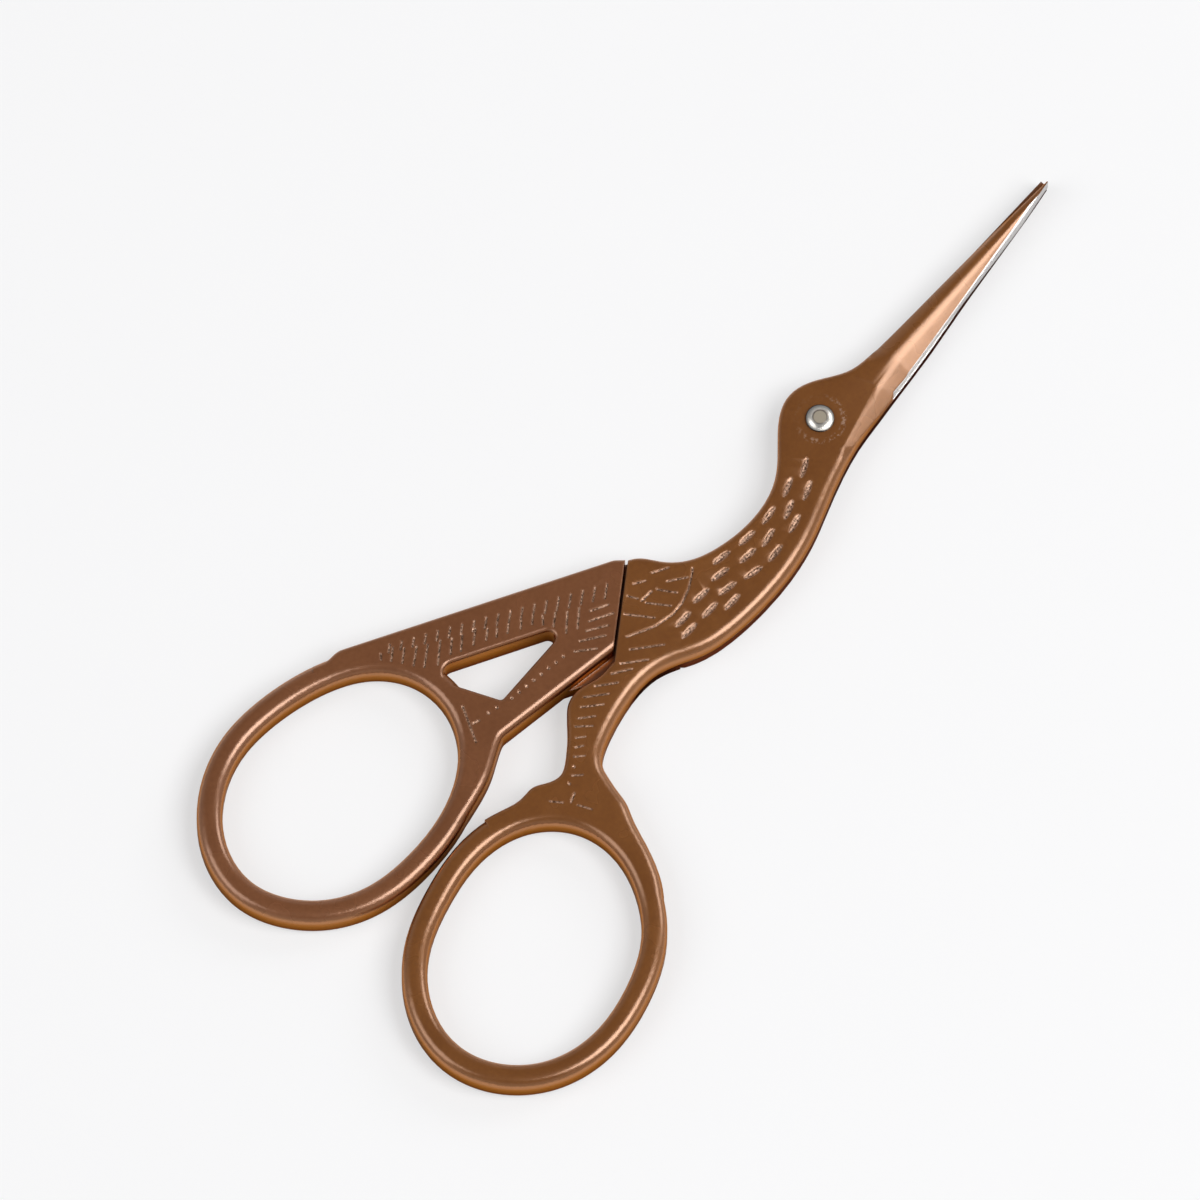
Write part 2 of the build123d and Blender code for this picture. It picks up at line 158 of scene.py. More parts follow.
def spot(vert):
    """A vertex's place in plan, in mm, rounded so that it can be looked up."""
    return round(vert.co.x / MM, 3), round(vert.co.y / MM, 3)


def open_marks(mesh_maker):
    """
    Floors and walls of the flat-floored marks are deleted. The result says, by place in plan,
    what each mark was: level of its surface, direction that it sinks in, and kind.
    Known fault: marks on top and underside at the same place share one entry, the top's, so
    those on the underside of leg and tail are filled from the top's level and become deep pits.
    """
    floors = {}
    for face in mesh_maker.faces:
        if abs(face.normal.z) < FLOOR_FLAT:
            continue
        z = face.calc_center_median().z / MM
        for level, sign in ((THICK, -1), (0.0, 1)):
            for mark in (FEATHER, STROKE):
                if abs(z - level - sign * mark.depth) < FLOOR_MISS:
                    floors[face] = (level, sign, mark)
    facts_at = {}
    doomed = set(floors)
    for floor, facts in floors.items():
        for vert in floor.verts:
            facts_at[spot(vert)] = facts
            doomed.update(near for near in vert.link_faces if abs(near.normal.z) < POCKET_WALL)
    bmesh.ops.delete(mesh_maker, geom=list(doomed), context="FACES")
    return facts_at


def trace_rims(mesh_maker):
    """Vertices round each open hole, in order."""
    onward = {}
    for edge in mesh_maker.edges:
        if len(edge.link_faces) == 1:
            for vert in edge.verts:
                onward.setdefault(vert, []).append(edge.other_vert(vert))
    rings = []
    done = set()
    for start in onward:
        if start in done:
            continue
        ring = []
        ahead = [start]
        while ahead:
            ring.append(ahead[0])
            done.add(ahead[0])
            ahead = [vert for vert in onward[ring[-1]] if vert not in done]
        rings.append(ring)
    return rings


def fill_mark(mesh_maker, stamp_layer, ring, facts):
    """A hole is filled with a rounded, rough-floored dent."""
    level, sign, mark = facts
    rim = np.array([(vert.co.x / MM, vert.co.y / MM) for vert in ring])
    points = np.concatenate([rim, stamp_points(rim, mark.pitch)])
    inward = distance_to_loop(points, rim)
    inward[:len(rim)] = 0
    share = np.clip(inward / mark.slope, 0, 1)
    fall = share * share * (3 - 2 * share)
    rough = RNG.normal(0, mark.rough, len(points)) * fall
    drop = np.clip(DENT_DEPTH * mark.depth * fall + rough, 0, None)
    drop[:len(rim)] = 0
    rim_edges = [(i, (i + 1) % len(rim)) for i in range(len(rim))]
    plan = [Vector(point) for point in points.tolist()]
    filled = geometry.delaunay_2d_cdt(plan, rim_edges, [], INSIDE_ONLY, PLAN_MISS)
    coords, _, faces, origins = filled[:4]
    verts = []
    for co, sources in zip(coords, origins):
        source = min(sources) if sources else None
        if source is not None and source < len(rim):
            verts.append(ring[source])
            continue
        sunk = drop[source] if source is not None else 0.0
        vert = mesh_maker.verts.new((co[0] * MM, co[1] * MM, (level + sign * sunk) * MM))
        vert[stamp_layer] = float(fall[source]) if source is not None else 0.0
        verts.append(vert)
    for face in faces:
        corners = [verts[i] for i in face]
        if len(set(corners)) < 3:
            continue
        a, b, c = corners[0].co, corners[1].co, corners[2].co
        if ((b - a).cross(c - a).z > 0) != (sign < 0):
            corners.reverse()
        if mesh_maker.faces.get(corners) is None:
            mesh_maker.faces.new(corners)


def restamp(mesh_maker, stamp_layer):
    """Every flat-floored mark is opened, and its hole is filled again."""
    facts_at = open_marks(mesh_maker)
    for ring in trace_rims(mesh_maker):
        found = [facts_at[spot(vert)] for vert in ring if spot(vert) in facts_at]
        if len(ring) > 3 and found:
            fill_mark(mesh_maker, stamp_layer, ring, found[0])


# Softened ridges of the blades

def ridge_reach(x):
    """How far a blade's ridge is rounded to each side, in mm, at a distance along the blade."""
    return RIDGE_ROUND * min(max((RIDGE_END - x) / RIDGE_TAPER, RIDGE_LEAST), 1.0)


def ridge_points(faces, side):
    """Points on a blade's ridges with the slope of the ground facet there, for each way it faces."""
    chains = {1: {}, -1: {}}
    for flat in faces:
        if flat.normal.z * side < BLADE_FLAT:
            continue
        for edge in flat.edges:
            if min(vert.co.x for vert in edge.verts) <= RIDGE_START * MM:
                continue
            for facet in edge.link_faces:
                if STEEPEST_FACET < facet.normal.z * side < MILDEST_FACET:
                    chain = chains[1 if facet.normal.y > 0 else -1]
                    slope = math.hypot(facet.normal.x, facet.normal.y) / abs(facet.normal.z)
                    chain.update({(v.co.x / MM, v.co.y / MM): slope for v in edge.verts})
    return chains.values()


def ridge_lines(faces, side):
    """Ridges between a blade's flat face and its ground facets, as straight spans with a slope."""
    spans = []
    for chain in ridge_points(faces, side):
        points = sorted(chain)
        while len(points) > 1:
            last = len(points) - 1
            while last > 1:
                start, end = np.array(points[0]), np.array(points[last])
                run = (end - start) / np.hypot(*(end - start))
                between = np.array(points[1:last]) - start
                if np.abs(between[:, 0] * run[1] - between[:, 1] * run[0]).max() < RIDGE_MISS:
                    break
                last -= 1
            slope = (chain[points[0]] + chain[points[last]]) / 2
            spans.append((np.array(points[0]), np.array(points[last]), slope))
            points = points[last:]
    return spans


def faces_along(faces, start, end):
    """Faces that reach into the part of the blade between two points."""
    found = []
    for face in faces:
        xs = [vert.co.x for vert in face.verts]
        if max(xs) > start[0] * MM and min(xs) < end[0] * MM:
            found.append(face)
    return found


def soften_ridges(mesh_maker, side):
    """The ground ridges of a blade are cut alongside and lowered into rounds. The side is +1 or -1."""
    blade = [
        face for face in mesh_maker.faces
        if face.normal.z * side > OUTER_SIDE and max(v.co.x for v in face.verts) > RIDGE_START * MM
    ]
    spans = ridge_lines(blade, side)
    for start, end, _ in spans:
        run = (end - start) / np.hypot(*(end - start))
        beside = np.array((-run[1], run[0]))
        for share in RIDGE_CUTS:
            first = start + beside * ridge_reach(start[0]) * share
            last = end + beside * ridge_reach(end[0]) * share
            across = Vector((first[1] - last[1], last[0] - first[0], 0)).normalized()
            place = Vector((first[0], first[1], 0)) * MM
            cut = faces_along(blade, start, end)
            near = list({item for face in cut for item in (face, *face.edges, *face.verts)})
            made = bmesh.ops.bisect_plane(
                mesh_maker, geom=near, dist=WELD, plane_co=place, plane_no=across
            )
            added = {item for item in made["geom"] if isinstance(item, bmesh.types.BMFace)}
            blade = list(added.union(face for face in blade if face.is_valid))
    bmesh.ops.triangulate(mesh_maker, faces=[face for face in mesh_maker.faces if len(face.verts) > 3])
    outer = [face for face in mesh_maker.faces if face.normal.z * side > OUTER_SIDE]
    for vert in {vert for face in outer for vert in face.verts}:
        if vert.co.x < 0:
            continue
        at = np.array((vert.co.x / MM, vert.co.y / MM))
        reach = ridge_reach(at[0])
        fall = 0.0
        for start, end, slope in spans:
            run = end - start
            share = min(max(((at - start) @ run) / (run @ run), 0.0), 1.0)
            away = np.hypot(*(at - start - run * share))
            if away < reach:
                fall = max(fall, slope * (reach - away) ** 2 / (4 * reach))
        vert.co.z -= side * fall * MM


# The two halves

def forged_half(node, ground_test, side):
    """A finished copy of a CAD half: dented marks, a mask for its ground steel, and soft shading."""
    mesh_maker = bmesh.new()
    mesh_maker.from_mesh(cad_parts[node].data)
    bmesh.ops.remove_doubles(mesh_maker, verts=mesh_maker.verts, dist=WELD)
    stamp_layer = mesh_maker.verts.layers.float.new("stamp")
    restamp(mesh_maker, stamp_layer)
    mesh_maker.normal_update()
    soften_ridges(mesh_maker, side)
    ground_layer = mesh_maker.faces.layers.float.new("ground")
    mesh_maker.normal_update()
    for face in mesh_maker.faces:
        face.smooth = True
        face[ground_layer] = ground_test(face.calc_center_median() / MM, face.normal)
    for edge in mesh_maker.edges:
        if len(edge.link_faces) == 2 and max(v[stamp_layer] for v in edge.verts) == 0:
            edge.smooth = edge.calc_face_angle(0.0) < math.radians(SHARP_BEND)
    mesh = bpy.data.meshes.new(node + "_forged")
    mesh_maker.to_mesh(mesh)
    mesh_maker.free()
    if "custom_normal" in mesh.attributes:
        mesh.attributes.remove(mesh.attributes["custom_normal"])
    piece = bpy.data.objects.new(node + "_forged", mesh)
    bpy.context.scene.collection.objects.link(piece)
    weigh = piece.modifiers.new("weighted", "WEIGHTED_NORMAL")
    weigh.keep_sharp = True
    weigh.weight = 50
    return piece


def front_ground(middle, normal):
    """1 on the cutting edge of the upper blade, and 0.5 on its flat inner face."""
    upright = abs(normal.z) < EDGE_UPWARD and normal.y < -EDGE_ACROSS
    if upright and middle.x > FRONT_EDGE_START and middle.z > FRONT_EDGE_BOTTOM:
        return 1.0
    inner = normal.z < -INNER_UPWARD and middle.x > INNER_START
    return 0.5 if inner and middle.z > FRONT_INNER_BOTTOM else 0.0


def back_ground(middle, normal):
    """1 on the cutting edge of the lower blade, and 0.5 on its flat inner face."""
    upright = abs(normal.z) < EDGE_UPWARD and normal.y > EDGE_ACROSS
    if upright and middle.x > BACK_EDGE_START:
        return 1.0
    inner = normal.z > INNER_UPWARD and middle.x > INNER_START
    bottom, top = BACK_INNER_HEIGHTS
    return 0.5 if inner and bottom < middle.z < top else 0.0


front = forged_half("front_half", front_ground, 1)
back = forged_half("back_half", back_ground, -1)


# Nodes

def new_material(name):
    material = bpy.data.materials.new(name)
    material.use_nodes = True
    tree = material.node_tree
    return material, tree, tree.nodes["Principled BSDF"]


def add_node(tree, kind, **values):
    """A node with settings and unlinked inputs by name."""
    made = tree.nodes.new(kind)
    for key, value in values.items():
        if hasattr(made, key):
            setattr(made, key, value)
        else:
            made.inputs[key].default_value = value
    return made


def feed(tree, socket, value):
    """An input takes another node's output, a colour or a number."""
    if isinstance(value, bpy.types.NodeSocket):
        tree.links.new(value, socket)
    elif isinstance(value, tuple):
        socket.default_value = value + (1.0,)
    else:
        socket.default_value = value


def noise(tree, vector, scale, detail, rough):
    made = add_node(tree, "ShaderNodeTexNoise", Scale=scale, Detail=detail, Roughness=rough)
    tree.links.new(vector, made.inputs["Vector"])
    return made.outputs["Fac"]


def ramp(tree, value, span, ends=(0.0, 1.0), clamp=True):
    """A value is carried from one span over to another."""
    limits = {"From Min": span[0], "From Max": span[1], "To Min": ends[0], "To Max": ends[1]}
    made = add_node(tree, "ShaderNodeMapRange", clamp=clamp, **limits)
    tree.links.new(value, made.inputs["Value"])
    return made.outputs["Result"]


def falling(tree, value, span, top=1.0):
    """From the top at the span's start down to 0 at its end."""
    return ramp(tree, value, span, (top, 0.0))


def math_node(tree, operation, a, b=0.0):
    made = add_node(tree, "ShaderNodeMath", operation=operation)
    feed(tree, made.inputs[0], a)
    feed(tree, made.inputs[1], b)
    return made.outputs[0]


def times(tree, *values):
    """Product of two or more values."""
    result = values[0]
    for value in values[1:]:
        result = math_node(tree, "MULTIPLY", result, value)
    return result


def highest(tree, a, b):
    return math_node(tree, "MAXIMUM", a, b)


def apart(tree, a, b):
    """Distance between two values."""
    return math_node(tree, "ABSOLUTE", math_node(tree, "SUBTRACT", a, b))


def mix_colour(tree, fac, a, b):
    made = add_node(tree, "ShaderNodeMix", data_type="RGBA")
    tree.links.new(fac, made.inputs[0])
    feed(tree, made.inputs[6], a)
    feed(tree, made.inputs[7], b)
    return made.outputs[2]


def mix_value(tree, fac, a, b):
    made = add_node(tree, "ShaderNodeMix", data_type="FLOAT")
    tree.links.new(fac, made.inputs[0])
    feed(tree, made.inputs[2], a)
    feed(tree, made.inputs[3], b)
    return made.outputs[0]


def split(tree, vector):
    """X, Y and Z of a vector."""
    made = add_node(tree, "ShaderNodeSeparateXYZ")
    tree.links.new(vector, made.inputs[0])
    return made.outputs["X"], made.outputs["Y"], made.outputs["Z"]


def object_place(tree):
    return add_node(tree, "ShaderNodeTexCoord").outputs["Object"]


def object_normal(tree):
    """The surface's normal in the piece's own axes."""
    made = add_node(tree, "ShaderNodeVectorTransform", vector_type="NORMAL")
    made.convert_from = "WORLD"
    made.convert_to = "OBJECT"
    tree.links.new(add_node(tree, "ShaderNodeNewGeometry").outputs["Normal"], made.inputs[0])
    return made.outputs[0]


def axis_distance(tree, x, y):
    """Distance from the pivot axis."""
    squares = [math_node(tree, "POWER", value, 2.0) for value in (x, y)]
    return math_node(tree, "SQRT", math_node(tree, "ADD", *squares))


def bump(tree, height, normal, depth, strength):
    """Bump on top of a normal."""
    made = add_node(tree, "ShaderNodeBump", Distance=depth)
    feed(tree, made.inputs["Strength"], strength)
    tree.links.new(height, made.inputs["Height"])
    tree.links.new(normal, made.inputs["Normal"])
    return made.outputs[0]


# Plating

def mm(*values):
    return tuple(value * MM for value in values)


# Middle part of a noise, which is spread over the whole of a ramp
MOST_NOISE = (0.3, 0.7)

# Upward part of the normal where the walls' painted sheen begins, and where a surface counts as a wall
SHEEN_TILT = (0.45, 0.82)
WALL_TILT = (0.75, 0.95)

# Height over which the painted shade on the walls fades out, darkest at the bottom
LOW_WALL = mm(0.3, 2.2)

# The lap, where painted shade darkens the walls: its start along the body, the throat between tail and
# leg, the top of the layer below its seam, the end of the recess, the change from the belly's painted
# shade to the blade's, and the seam's width
LAP_START = mm(-24.5, -23.5)
THROAT_START = mm(-29.2, -28.0)
THROAT_SIDE = mm(2.0, 3.0)
BELOW_SEAM = mm(1.42, 1.56)
RECESS_END = mm(-24.5, -23.0)
BELLY_TO_BLADE = mm(-7.5, -3.5)
SEAM_WIDTH = mm(0.04, 0.14)

# The worn ring round the rivet
WORN_RADIUS = 2.0 * MM
WORN_WIDTH = mm(0.08, 0.30)
WORN_SIDE = mm(-1.0, 1.2)

# The bare strip above the front cutting edge, in mm: place of the heel along the blade, height of
# the edge's top there, and its rise for each mm towards the tip
HEEL = 8.0
HEEL_HEIGHT = 2.043
EDGE_RISE = 0.0467
STRIP_RUN = mm(10.0, 26.0)
STRIP_WIDTH = mm(0.02, 0.12)
STRIP_FADE = mm(0.0, 0.03)
STRIP_START = mm(7.5, 8.0)
STRIP_BOTTOM = mm(1.6, 1.7)

GRAIN_BROWN = (0.14, 0.045, 0.010)
# Brighter, uncoated metallic copper that the walls get by their tilt: a painted sheen standing in for
# the lit floor's reflection
WALL_SHEEN_COPPER = (0.46, 0.215, 0.100)
# Painted shade: low on the walls, below the lap under the belly and the blade, in the throat's recess
# and in the seam
PAINTED_LOW_SHADE = (0.085, 0.034, 0.019)
BELLY_PAINTED_SHADE = (0.200, 0.080, 0.042)
BLADE_PAINTED_SHADE = (0.070, 0.012, 0.006)
RECESS_PAINTED_SHADE = (0.040, 0.014, 0.008)
SEAM_PAINTED_SHADE = (0.012, 0.004, 0.003)
# Rough grain in the dents: its dark specks are painted shade, its light specks painted glints
STAMP_GRAIN_SHADE = (0.075, 0.026, 0.009)
STAMP_GRAIN_GLINT = (0.66, 0.40, 0.27)
WORN_COPPER = (0.62, 0.42, 0.30)
STEEL_DARK = (0.52, 0.505, 0.49)
STEEL_LIGHT = (0.68, 0.665, 0.65)

# Tints of the reflection; the low and lap tints dim it as painted shade
PLATING_TINT = (1.0, 0.72, 0.48)
COPPER_TINT = (0.70, 0.46, 0.30)
STEEL_TINT = (1.0, 1.0, 1.0)
LOW_SHADE_TINT = (0.22, 0.13, 0.09)
LAP_SHADE_TINT = (0.16, 0.06, 0.04)

PLATING_ROUGH = (0.23, 0.29)
DENT_ROUGH = 0.36
LOW_ROUGH = 0.5
STEEL_ROUGH = (0.26, 0.36)
PLATING_METALLIC = 0.30
PLATING_COAT = 0.8
DENT_COAT = 0.35
BEVEL_SAMPLES = 6


def lap_shade(tree, place, wall):
    """Painted shade round the lap: mask and colour of the shade on the walls below the seam, and mask
    of the shade in the seam itself.
    """
    x, y, z = split(tree, place)
    lapped = ramp(tree, x, LAP_START)
    throat = times(tree, ramp(tree, x, THROAT_START), falling(tree, y, THROAT_SIDE))
    below = times(tree, falling(tree, z, BELOW_SEAM, 0.85), highest(tree, lapped, throat), wall)
    # Painted shade on the walls below the seam: maroon under the belly, darker under the blade, nearly
    # black in the throat's recess
    painted_lap_shade = mix_colour(tree, ramp(tree, x, BELLY_TO_BLADE), BELLY_PAINTED_SHADE, BLADE_PAINTED_SHADE)
    recess = times(tree, falling(tree, x, RECESS_END), throat)
    painted_lap_shade = mix_colour(tree, recess, painted_lap_shade, RECESS_PAINTED_SHADE)
    # A dark line of painted shade along the seam between the two halves
    off_seam = apart(tree, z, THICK * MM / 2)
    seam = times(tree, falling(tree, off_seam, SEAM_WIDTH, 0.9), lapped, wall)
    return below, painted_lap_shade, seam


def worn_ring(tree, place):
    """Mask of a broken, grainy ring that the rivet's setting tool left, mostly below the pivot line."""
    x, y, _ = split(tree, place)
    off_ring = apart(tree, axis_distance(tree, x, y), WORN_RADIUS)
    patchy = noise(tree, place, scale=3400.0, detail=3.0, rough=0.6)
    broken = times(tree, falling(tree, off_ring, WORN_WIDTH), ramp(tree, patchy, (0.50, 0.60)))
    return times(tree, broken, ramp(tree, y, WORN_SIDE, (0.55, 0.04)))


def bare_steel(tree, place, across):
    """
    Mask of the ground steel: the cutting edges, the inner faces below the pivot line, and a strip
    of the front facet beside its cutting edge that widens towards the tip.
    """
    x, y, z = split(tree, place)
    ground = add_node(tree, "ShaderNodeAttribute", attribute_name="ground").outputs["Fac"]
    inner = times(tree, ramp(tree, ground, (0.2, 0.3)), falling(tree, y, mm(-0.1, 0.1)))
    bare = highest(tree, inner, ramp(tree, ground, (0.7, 0.8)))
    heights = mm(HEEL_HEIGHT, HEEL_HEIGHT + HEEL * EDGE_RISE)
    edge_top = ramp(tree, x, mm(HEEL, 2 * HEEL), heights, clamp=False)
    above = math_node(tree, "SUBTRACT", z, edge_top)
    beyond = math_node(tree, "SUBTRACT", above, ramp(tree, x, STRIP_RUN, STRIP_WIDTH))
    past_heel = times(tree, ramp(tree, x, STRIP_START), ramp(tree, z, STRIP_BOTTOM))
    cutting_side = times(tree, falling(tree, across, (-0.10, -0.05)), past_heel)
    return highest(tree, bare, times(tree, falling(tree, beyond, STRIP_FADE), cutting_side))


def plated_metal(name, dark, light):
    """Lacquered copper-brown plating, grainy in the stamped marks, bare steel where it is ground, with
    a painted sheen on its walls, painted shade low down and round the lap, and painted glints and shade
    in the dents.
    """
    material, tree, shader = new_material(name)
    link = tree.links.new
    place = object_place(tree)
    stamp = add_node(tree, "ShaderNodeAttribute", attribute_name="stamp").outputs["Fac"]
    cloudy = noise(tree, place, scale=170.0, detail=3.0, rough=0.55)
    fine = noise(tree, place, scale=2600.0, detail=4.0, rough=0.6)
    grit = noise(tree, place, scale=5600.0, detail=2.0, rough=0.6)
    colour = mix_colour(tree, ramp(tree, cloudy, MOST_NOISE), dark, light)
    colour = mix_colour(tree, ramp(tree, fine, (0.35, 0.75), (0.0, 0.30)), colour, GRAIN_BROWN)

    # The walls get a brighter, uncoated metallic copper than the flats, a painted sheen for the lit
    # floor's reflection.
    # Painted shade darkens them towards the underside, and more below the lap and in the seam.
    _, across, upward = split(tree, object_normal(tree))
    tilt = math_node(tree, "ABSOLUTE", upward)
    sheen_walls = falling(tree, tilt, SHEEN_TILT)
    wall = falling(tree, tilt, WALL_TILT)
    low = times(tree, falling(tree, split(tree, place)[2], LOW_WALL, 0.75), wall)
    shaded_below_lap, lap_shade_colour, seam = lap_shade(tree, place, wall)
    colour = mix_colour(tree, sheen_walls, colour, WALL_SHEEN_COPPER)
    colour = mix_colour(tree, low, colour, PAINTED_LOW_SHADE)
    colour = mix_colour(tree, shaded_below_lap, colour, lap_shade_colour)
    colour = mix_colour(tree, seam, colour, SEAM_PAINTED_SHADE)
    low = highest(tree, low, shaded_below_lap)

    # In the dents the grain's dark specks are painted shade and its light specks painted glints
    grain_glint_and_shade = mix_colour(tree, ramp(tree, grit, (0.42, 0.60)), STAMP_GRAIN_SHADE, STAMP_GRAIN_GLINT)
    colour = mix_colour(tree, ramp(tree, stamp, (0.0, 0.5)), colour, grain_glint_and_shade)
    colour = mix_colour(tree, worn_ring(tree, place), colour, WORN_COPPER)

    bare = bare_steel(tree, place, across)
    scratch_place = add_node(tree, "ShaderNodeMapping", Scale=(6.0, 0.35, 1.0))
    link(place, scratch_place.inputs["Vector"])
    scratch = noise(tree, scratch_place.outputs[0], scale=2500.0, detail=3.0, rough=0.6)
    colour = mix_colour(tree, bare, colour, mix_colour(tree, scratch, STEEL_DARK, STEEL_LIGHT))
    link(colour, shader.inputs["Base Color"])

    rough = ramp(tree, cloudy, MOST_NOISE, PLATING_ROUGH)
    rough = mix_value(tree, stamp, rough, DENT_ROUGH)
    rough = mix_value(tree, low, rough, LOW_ROUGH)
    rough = mix_value(tree, bare, rough, ramp(tree, scratch, MOST_NOISE, STEEL_ROUGH))
    link(rough, shader.inputs["Roughness"])
    # Walls with the painted sheen, and those with painted shade, lose the coat and turn metallic
    sheen_and_shade_walls = highest(tree, sheen_walls, low)
    metallic = mix_value(tree, highest(tree, sheen_and_shade_walls, bare), PLATING_METALLIC, 1.0)
    link(metallic, shader.inputs["Metallic"])
    coat = falling(tree, sheen_and_shade_walls, (0.0, 0.8), PLATING_COAT)
    link(mix_value(tree, stamp, coat, DENT_COAT), shader.inputs["Coat Weight"])
    tint = mix_colour(tree, sheen_walls, PLATING_TINT, COPPER_TINT)
    tint = mix_colour(tree, bare, tint, STEEL_TINT)
    tint = mix_colour(tree, low, tint, LOW_SHADE_TINT)
    link(mix_colour(tree, shaded_below_lap, tint, LAP_SHADE_TINT), shader.inputs["Specular Tint"])
    shader.inputs["Specular IOR Level"].default_value = 0.9
    shader.inputs["Coat IOR"].default_value = 1.6
    shader.inputs["Coat Roughness"].default_value = 0.24

    soft_edge = add_node(tree, "ShaderNodeBevel", samples=BEVEL_SAMPLES, Radius=0.22 * MM)
    waves = noise(tree, place, scale=420.0, detail=2.0, rough=0.5)
    normal = bump(tree, waves, soft_edge.outputs[0], depth=0.03 * MM, strength=0.35)
    normal = bump(tree, fine, normal, depth=0.008 * MM, strength=0.30)
    normal = bump(tree, grit, normal, depth=0.05 * MM, strength=times(tree, stamp, 0.9))
    link(normal, shader.inputs["Normal"])
    link(normal, shader.inputs["Coat Normal"])
    return material


# The rivet

RIVET_FLAT = mm(0.55, 0.62)
RIVET_OUTLINE_RADIUS = 0.60 * MM
RIVET_OUTLINE_WIDTH = mm(0.03, 0.09)
RIVET_FOOT = mm(1.10, 1.18)
RIVET_DARK = (0.80, 0.77, 0.70)
RIVET_LIGHT = (0.92, 0.89, 0.82)
RIVET_FLAT_GREY = (0.44, 0.38, 0.29)
RIVET_OUTLINE_BROWN = (0.09, 0.07, 0.06)
# Painted shade in the gap round the foot of the rivet's head
RIVET_FOOT_SHADE = (0.05, 0.035, 0.03)


def rivet_steel():
    """Bright turned steel with a grey, faintly ringed flat, and painted shade at its foot, in the gap
    to the plate.
    """
    material, tree, shader = new_material("rivet_steel")
    link = tree.links.new
    x, y, _ = split(tree, object_place(tree))
    radius = axis_distance(tree, x, y)
    joined = add_node(tree, "ShaderNodeCombineXYZ")
    link(radius, joined.inputs["X"])
    rings = noise(tree, joined.outputs[0], scale=9000.0, detail=2.0, rough=0.5)
    flat = falling(tree, radius, RIVET_FLAT)
    outline = falling(tree, apart(tree, radius, RIVET_OUTLINE_RADIUS), RIVET_OUTLINE_WIDTH, 0.7)
    colour = mix_colour(tree, ramp(tree, rings, (0.35, 0.65)), RIVET_DARK, RIVET_LIGHT)
    colour = mix_colour(tree, flat, colour, RIVET_FLAT_GREY)
    colour = mix_colour(tree, outline, colour, RIVET_OUTLINE_BROWN)
    colour = mix_colour(tree, ramp(tree, radius, RIVET_FOOT), colour, RIVET_FOOT_SHADE)
    link(colour, shader.inputs["Base Color"])
    turned_rough = ramp(tree, rings, MOST_NOISE, (0.30, 0.38))
    link(mix_value(tree, flat, turned_rough, 0.42), shader.inputs["Roughness"])
    link(mix_value(tree, flat, 1.0, 0.4), shader.inputs["Metallic"])
    soft_edge = add_node(tree, "ShaderNodeBevel", samples=BEVEL_SAMPLES, Radius=0.08 * MM)
    normal = bump(tree, rings, soft_edge.outputs[0], depth=0.01 * MM, strength=0.4)
    link(normal, shader.inputs["Normal"])
    return material


front_plating = plated_metal("orange_brown_plating", (0.230, 0.077, 0.014), (0.275, 0.097, 0.019))
back_plating = plated_metal("red_brown_plating", (0.232, 0.083, 0.030), (0.274, 0.101, 0.038))
steel = rivet_steel()
for piece, node, body, plating in (
    (front, "front_half", "front", front_plating),
    (back, "back_half", "back", back_plating),
):
    piece.data.materials.clear()
    piece.data.materials.append(plating)
    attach(piece, body)
    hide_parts(node)
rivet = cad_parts["pivot_rivet"]
rivet.data.materials.clear()
rivet.data.materials.append(steel)


# Floor, lights and camera

# Half of the floor's width and the camera's distance are in metres, the width of its view in mm
FLOOR_HALF = 1.6
FLOOR_DROP = 0.01 * MM
FLOOR_DARK = (0.90, 0.90, 0.905)
FLOOR_LIGHT = (0.92, 0.92, 0.925)
FLOOR_GLOW = 0.98
GLOW_SHARE = 0.55
GLOW_IN_REFLECTIONS = 0.3
SKY_LOW = (0.38, 0.38, 0.39)
SKY_HIGH = (0.09, 0.09, 0.10)
VIEW_WIDTH = 100.0
CAMERA_AZIMUTH = -137.7
CAMERA_ELEVATION = 70.9
CAMERA_DISTANCE = 3.9


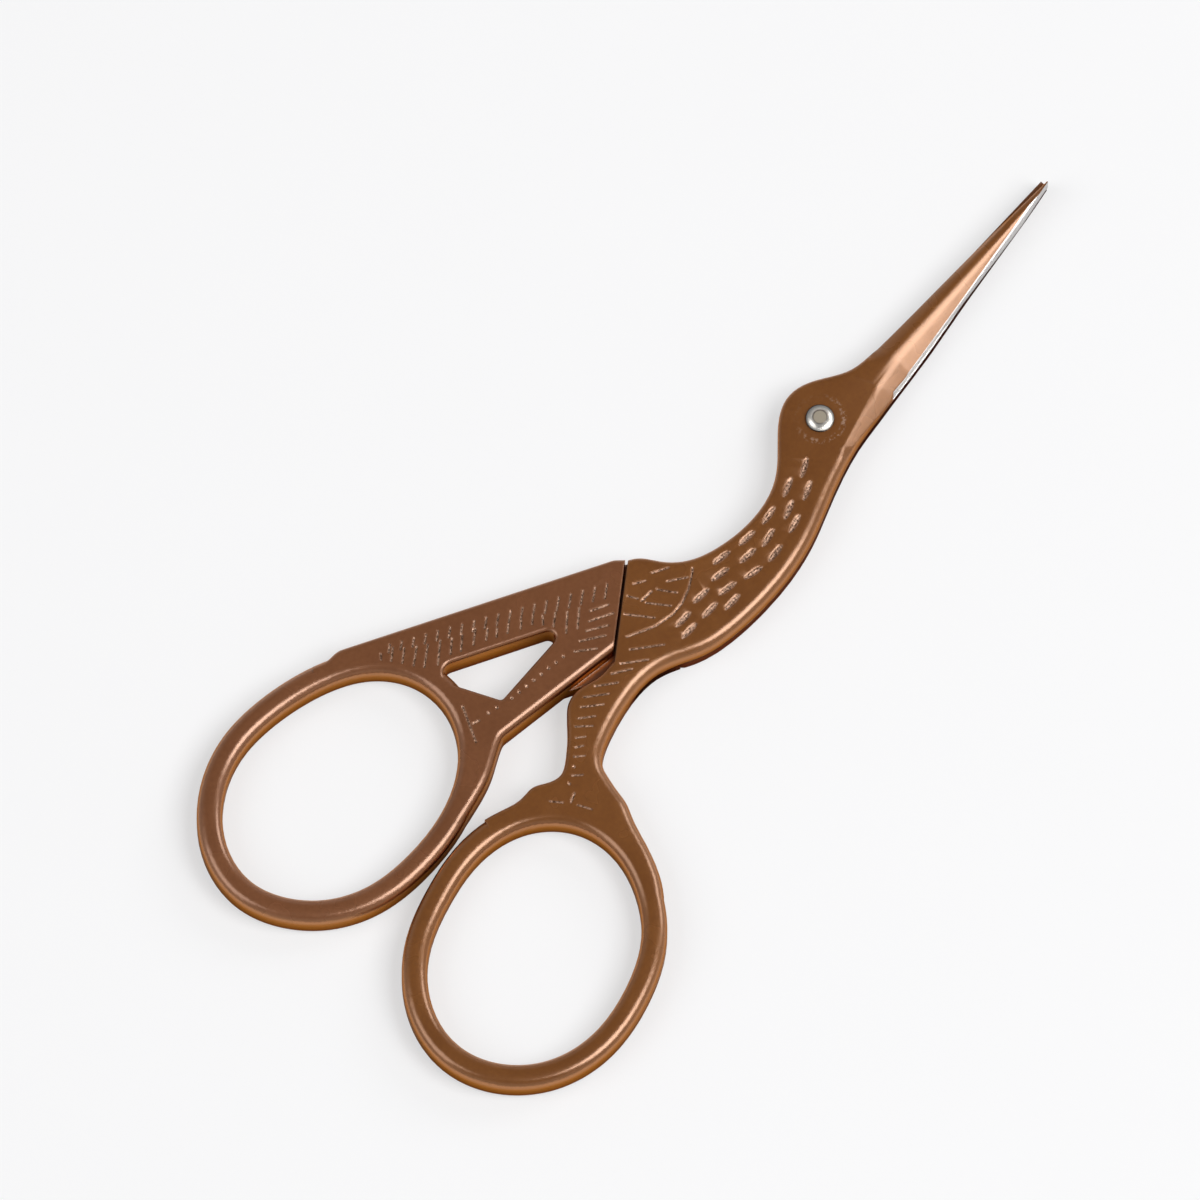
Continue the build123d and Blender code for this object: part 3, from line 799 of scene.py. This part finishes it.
def floor_plane():
    """Pale floor, part lit and part glowing white to the camera and in reflections."""
    mesh = bpy.data.meshes.new("floor")
    corners = [(x * FLOOR_HALF, y * FLOOR_HALF, 0) for x, y in ((-1, -1), (1, -1), (1, 1), (-1, 1))]
    mesh.from_pydata(corners, [], [(0, 1, 2, 3)])
    piece = bpy.data.objects.new("floor", mesh)
    bpy.context.scene.collection.objects.link(piece)
    piece.location.z = -FLOOR_DROP
    material, tree, shader = new_material("pale_floor")
    speckle = noise(tree, object_place(tree), scale=60.0, detail=3.0, rough=0.5)
    tree.links.new(mix_colour(tree, speckle, FLOOR_DARK, FLOOR_LIGHT), shader.inputs["Base Color"])
    shader.inputs["Roughness"].default_value = 0.85
    shader.inputs["Specular IOR Level"].default_value = 0.2
    white = add_node(tree, "ShaderNodeEmission", Strength=FLOOR_GLOW)
    rays = add_node(tree, "ShaderNodeLightPath")
    glossy = times(tree, rays.outputs["Is Glossy Ray"], GLOW_IN_REFLECTIONS)
    seen = highest(tree, rays.outputs["Is Camera Ray"], glossy)
    both = add_node(tree, "ShaderNodeMixShader")
    tree.links.new(times(tree, seen, GLOW_SHARE), both.inputs[0])
    tree.links.new(shader.outputs[0], both.inputs[1])
    tree.links.new(white.outputs[0], both.inputs[2])
    tree.links.new(both.outputs[0], tree.nodes["Material Output"].inputs["Surface"])
    mesh.materials.append(material)


def look_from(thing, aim, azimuth, elevation, distance):
    """
    A lamp or the camera is placed so that it looks at a point. The azimuth is in degrees from +X
    towards +Y.
    """
    a, e = math.radians(azimuth), math.radians(elevation)
    away = Vector((math.cos(a) * math.cos(e), math.sin(a) * math.cos(e), math.sin(e)))
    thing.location = aim + away * distance
    thing.rotation_euler = (-away).to_track_quat("-Z", "Y").to_euler()
    bpy.context.scene.collection.objects.link(thing)


def soft_box(name, width, height, power):
    """Rectangular lamp. Its sizes are in metres, its power in watts."""
    data = bpy.data.lights.new(name, "AREA")
    data.shape = "RECTANGLE"
    data.size = width
    data.size_y = height
    data.energy = power
    return bpy.data.objects.new(name, data)


floor_plane()
aim = Vector((-24.2, 2.8, 3.0)) * MM
key = soft_box("key", width=0.50, height=0.60, power=6.6)
side = soft_box("side", width=0.45, height=0.45, power=2.4)
fill = soft_box("fill", width=0.9, height=0.9, power=5.5)
look_from(key, aim, azimuth=-68, elevation=56, distance=1.0)
look_from(side, aim, azimuth=-15, elevation=30, distance=1.1)
look_from(fill, aim, azimuth=150, elevation=45, distance=1.3)

world = bpy.data.worlds.new("studio")
bpy.context.scene.world = world
world.use_nodes = True
sky = world.node_tree
_, _, height = split(sky, add_node(sky, "ShaderNodeTexCoord").outputs["Generated"])
grey = mix_colour(sky, ramp(sky, height, (0.35, 0.80)), SKY_LOW, SKY_HIGH)
sky.links.new(grey, sky.nodes["Background"].inputs["Color"])
sky.nodes["Background"].inputs["Strength"].default_value = 1.0

camera_data = bpy.data.cameras.new("camera")
camera = bpy.data.objects.new("camera", camera_data)
look_from(camera, aim, CAMERA_AZIMUTH, CAMERA_ELEVATION, CAMERA_DISTANCE)
camera_data.sensor_fit = "HORIZONTAL"
camera_data.angle = 2 * math.atan(VIEW_WIDTH / 2 * MM / CAMERA_DISTANCE)
camera_data.clip_start = 0.01
bpy.context.scene.camera = camera
bpy.context.scene.view_settings.view_transform = "Standard"
